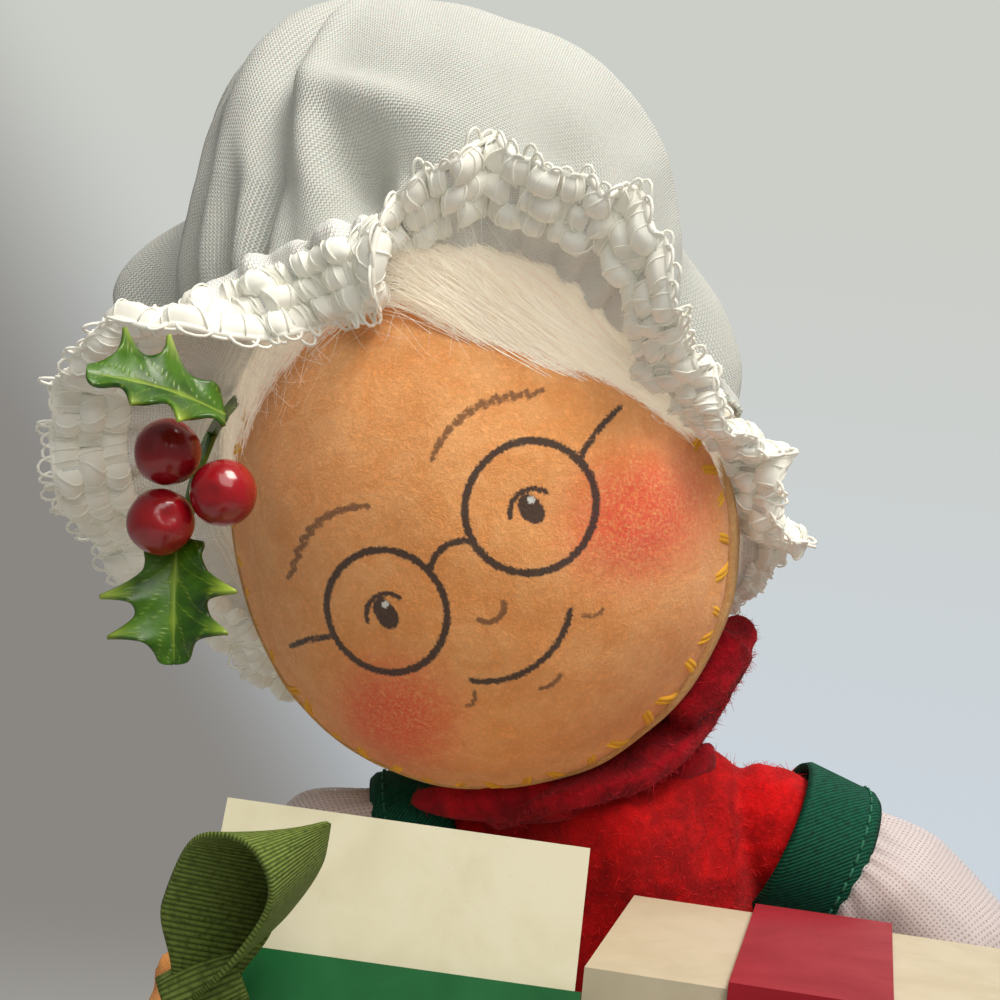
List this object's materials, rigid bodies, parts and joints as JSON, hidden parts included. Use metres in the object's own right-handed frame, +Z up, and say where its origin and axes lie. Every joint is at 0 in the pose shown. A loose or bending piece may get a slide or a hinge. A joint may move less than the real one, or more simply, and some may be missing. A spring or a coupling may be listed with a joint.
{
  "type": "felt holiday grandmother doll",
  "caption": "Standing felt grandmother doll with a gathered mob cap, white hair, ruffled sleeves and a gift box in each mitt, bendable on wires.",
  "frame": {"origin": "centre of the doll's bounding box, on the surface that the shoes stand on", "axes": "+Z up, the doll looks along -Y, and its own left side is +X"},
  "size_m": [0.1138, 0.1016, 0.1967],
  "materials": {
    "face_felt": "matte orange-peach wool felt",
    "head_felt": "matte tan wool felt",
    "skin_felt": "matte peach wool felt",
    "stuffing": "loose white fibre",
    "wire": "drawn steel wire",
    "red_felt": "matte bright red wool felt",
    "crimson_felt": "matte crimson wool felt",
    "cap_cotton": "plain white cotton weave",
    "lace": "off-white cotton lace",
    "organza": "sheer white mesh",
    "green_twill": "dark green twill tape",
    "mohair": "loose cream mohair",
    "stocking": "white cotton stocking",
    "shoe_felt": "black felt",
    "sole": "dark matte sole leather",
    "berry": "glossy dark red lacquer",
    "leaf": "semi-gloss green leaf, yellow-green at the tips",
    "carton": "cream coated card",
    "carton_inside": "tan uncoated card",
    "green_band": "glossy green ribbon",
    "red_band": "semi-gloss red ribbon",
    "olive_ribbon": "olive grosgrain ribbon"
  },
  "bodies": {
    "torso": {"torso_felt": "red_felt", "torso_stuffing": "stuffing", "spine_wire": "wire", "armhole_band_left": "green_twill", "armhole_band_right": "green_twill", "waistband": "green_twill", "skirt": "red_felt", "apron": "organza"},
    "neck": {"neck_felt": "skin_felt", "neck_wire": "wire", "collar": "crimson_felt"},
    "head_core": {"head_wire": "wire"},
    "head": {"head_face_felt": "face_felt", "head_back_felt": "head_felt", "head_stuffing": "stuffing", "hair": "mohair", "cap_elastic": "lace", "cap_ruffle": "cap_cotton", "cap_lace": "lace", "cap_crown": "cap_cotton", "holly_berry_1": "berry", "holly_berry_2": "berry", "holly_berry_3": "berry", "holly_stem": "leaf", "holly_leaf_upper": "leaf", "holly_leaf_lower": "leaf"},
    "upper_arm_right": {"upper_arm_right": "skin_felt", "arm_wire_upper_right": "wire", "sleeve_right": "organza"},
    "forearm_right": {"forearm_right": "skin_felt", "arm_wire_lower_right": "wire", "gift_right_carton": "carton", "gift_right_flap": "carton_inside", "gift_right_band": "green_band", "gift_right_bow": "olive_ribbon"},
    "upper_arm_left": {"upper_arm_left": "skin_felt", "arm_wire_upper_left": "wire", "sleeve_left": "organza"},
    "forearm_left": {"forearm_left": "skin_felt", "arm_wire_lower_left": "wire", "gift_left_carton": "carton", "gift_left_flap": "carton_inside", "gift_left_band": "red_band"},
    "thigh_right": {"thigh_right": "stocking", "leg_wire_upper_right": "wire"},
    "shin_right": {"shin_right": "stocking", "leg_wire_lower_right": "wire", "shoe_right": "shoe_felt", "shoe_sole_right": "sole"},
    "thigh_left": {"thigh_left": "stocking", "leg_wire_upper_left": "wire"},
    "shin_left": {"shin_left": "stocking", "leg_wire_lower_left": "wire", "shoe_left": "shoe_felt", "shoe_sole_left": "sole"}
  },
  "joints": [
    {"name": "neck_tilt", "type": "hinge", "parent": "torso", "child": "neck", "pos_m": [0.00612, 0.01711, 0.11454], "axis": [0, 1, 0], "range_deg": [0, 30]},
    {"name": "head_nod", "type": "hinge", "parent": "neck", "child": "head_core", "pos_m": [0.003, 0.01105, 0.1261], "axis": [0.7084, -0.1736, 0.6841], "range_deg": [-4, 8]},
    {"name": "head_turn", "type": "hinge", "parent": "head_core", "child": "head", "pos_m": [0.003, 0.01105, 0.1261], "axis": [-0.6947, 0, 0.7193], "range_deg": [-12, 15]},
    {"name": "shoulder_right", "type": "hinge", "parent": "torso", "child": "upper_arm_right", "pos_m": [-0.01052, 0.01711, 0.10583], "axis": [-1, 0, 0], "range_deg": [-6, 15]},
    {"name": "elbow_right", "type": "hinge", "parent": "upper_arm_right", "child": "forearm_right", "pos_m": [-0.03509, 0.00911, 0.0885], "axis": [-1, 0, 0], "range_deg": [-8, 8]},
    {"name": "shoulder_left", "type": "hinge", "parent": "torso", "child": "upper_arm_left", "pos_m": [0.02464, 0.01711, 0.1114], "axis": [-1, 0, 0], "range_deg": [0, 15]},
    {"name": "elbow_left", "type": "hinge", "parent": "upper_arm_left", "child": "forearm_left", "pos_m": [0.05041, 0.01012, 0.091], "axis": [-1, 0, 0], "range_deg": [-3, 8]},
    {"name": "hip_right", "type": "hinge", "parent": "torso", "child": "thigh_right", "pos_m": [0.00341, 0.01711, 0.058], "axis": [1, 0, 0], "range_deg": [-20, 12]},
    {"name": "knee_right", "type": "hinge", "parent": "thigh_right", "child": "shin_right", "pos_m": [0.00088, 0.01711, 0.034], "axis": [1, 0, 0], "range_deg": [0, 16]},
    {"name": "hip_left", "type": "hinge", "parent": "torso", "child": "thigh_left", "pos_m": [0.02041, 0.01711, 0.058], "axis": [1, 0, 0], "range_deg": [-20, 12]},
    {"name": "knee_left", "type": "hinge", "parent": "thigh_left", "child": "shin_left", "pos_m": [0.02293, 0.01711, 0.034], "axis": [1, 0, 0], "range_deg": [0, 16]}
  ]
}
